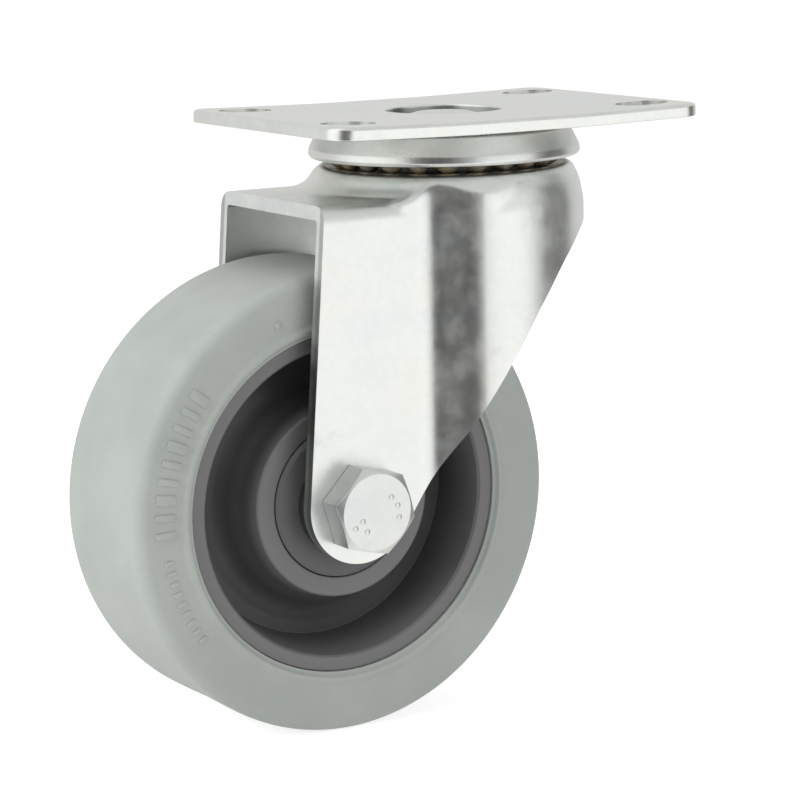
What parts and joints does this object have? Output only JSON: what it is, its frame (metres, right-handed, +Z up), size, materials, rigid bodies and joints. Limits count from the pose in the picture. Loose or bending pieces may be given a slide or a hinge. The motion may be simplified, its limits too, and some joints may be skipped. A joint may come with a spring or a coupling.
{
  "type": "swivel plate castor",
  "caption": "Swivel castor with slotted deck plate, pressed steel fork, double ball race head and grey rubber-tyred wheel on a through bolt.",
  "frame": {"origin": "centre of the deck plate's top face, on the swivel axis", "axes": "+Z up out of the plate along the swivel axis; +X the direction of travel, so the wheel trails towards -X; the wheel turns about Y, with the bolt head on the -Y side"},
  "size_m": [0.132, 0.0682, 0.1304],
  "materials": {
    "zinc_plated_steel": "bright zinc plate over pressed steel, satin",
    "bright_steel": "ground and hardened steel, light grease",
    "grey_rubber": "non-marking grey rubber, matt",
    "dark_plastic": "moulded dark grey plastic, satin",
    "nylon": "natural nylon"
  },
  "bodies": {
    "mount": {"top_plate": "zinc_plated_steel", "race_cup": "zinc_plated_steel", "kingpin": "bright_steel", "lower_race": "zinc_plated_steel"},
    "upper_balls": {"upper_ball_01": "bright_steel", "upper_ball_02": "bright_steel", "upper_ball_03": "bright_steel", "upper_ball_04": "bright_steel", "upper_ball_05": "bright_steel", "upper_ball_06": "bright_steel", "upper_ball_07": "bright_steel", "upper_ball_08": "bright_steel", "upper_ball_09": "bright_steel", "upper_ball_10": "bright_steel", "upper_ball_11": "bright_steel", "upper_ball_12": "bright_steel", "upper_ball_13": "bright_steel", "upper_ball_14": "bright_steel", "upper_ball_15": "bright_steel", "upper_ball_16": "bright_steel", "upper_ball_17": "bright_steel", "upper_ball_18": "bright_steel", "upper_ball_19": "bright_steel", "upper_ball_20": "bright_steel", "upper_ball_21": "bright_steel", "upper_ball_22": "bright_steel", "upper_ball_23": "bright_steel", "upper_ball_24": "bright_steel"},
    "lower_balls": {"lower_ball_01": "bright_steel", "lower_ball_02": "bright_steel", "lower_ball_03": "bright_steel", "lower_ball_04": "bright_steel", "lower_ball_05": "bright_steel", "lower_ball_06": "bright_steel", "lower_ball_07": "bright_steel", "lower_ball_08": "bright_steel", "lower_ball_09": "bright_steel", "lower_ball_10": "bright_steel", "lower_ball_11": "bright_steel", "lower_ball_12": "bright_steel"},
    "fork": {"fork": "zinc_plated_steel", "axle_bolt": "zinc_plated_steel", "axle_nut": "zinc_plated_steel", "nut_insert": "nylon", "axle_sleeve": "bright_steel"},
    "wheel": {"tyre": "grey_rubber", "wheel_core": "dark_plastic", "dust_cap_bolt_side": "dark_plastic", "dust_cap_nut_side": "dark_plastic", "bearing_bush": "bright_steel"},
    "roller_set": {"roller_cage": "nylon", "bearing_roller_1": "bright_steel", "bearing_roller_2": "bright_steel", "bearing_roller_3": "bright_steel", "bearing_roller_4": "bright_steel", "bearing_roller_5": "bright_steel", "bearing_roller_6": "bright_steel", "bearing_roller_7": "bright_steel", "bearing_roller_8": "bright_steel"}
  },
  "joints": [
    {"name": "swivel", "type": "hinge", "parent": "mount", "child": "fork", "pos_m": [0, 0, 0], "axis": [0, 0, 1], "continuous": true},
    {"name": "upper_ball_roll", "type": "hinge", "parent": "mount", "child": "upper_balls", "pos_m": [0, 0, -0.0093], "axis": [0, 0, 1], "continuous": true},
    {"name": "lower_ball_roll", "type": "hinge", "parent": "mount", "child": "lower_balls", "pos_m": [0, 0, -0.0179], "axis": [0, 0, 1], "continuous": true},
    {"name": "wheel_spin", "type": "hinge", "parent": "fork", "child": "wheel", "pos_m": [-0.036, 0, -0.0804], "axis": [0, 1, 0], "continuous": true},
    {"name": "roller_roll", "type": "hinge", "parent": "fork", "child": "roller_set", "pos_m": [-0.036, 0, -0.0804], "axis": [0, 1, 0], "continuous": true}
  ],
  "couplings": [
    {"joint": "upper_ball_roll", "follows": "swivel", "ratio": 0.5},
    {"joint": "lower_ball_roll", "follows": "swivel", "ratio": 0.5},
    {"joint": "roller_roll", "follows": "wheel_spin", "ratio": 0.6}
  ]
}
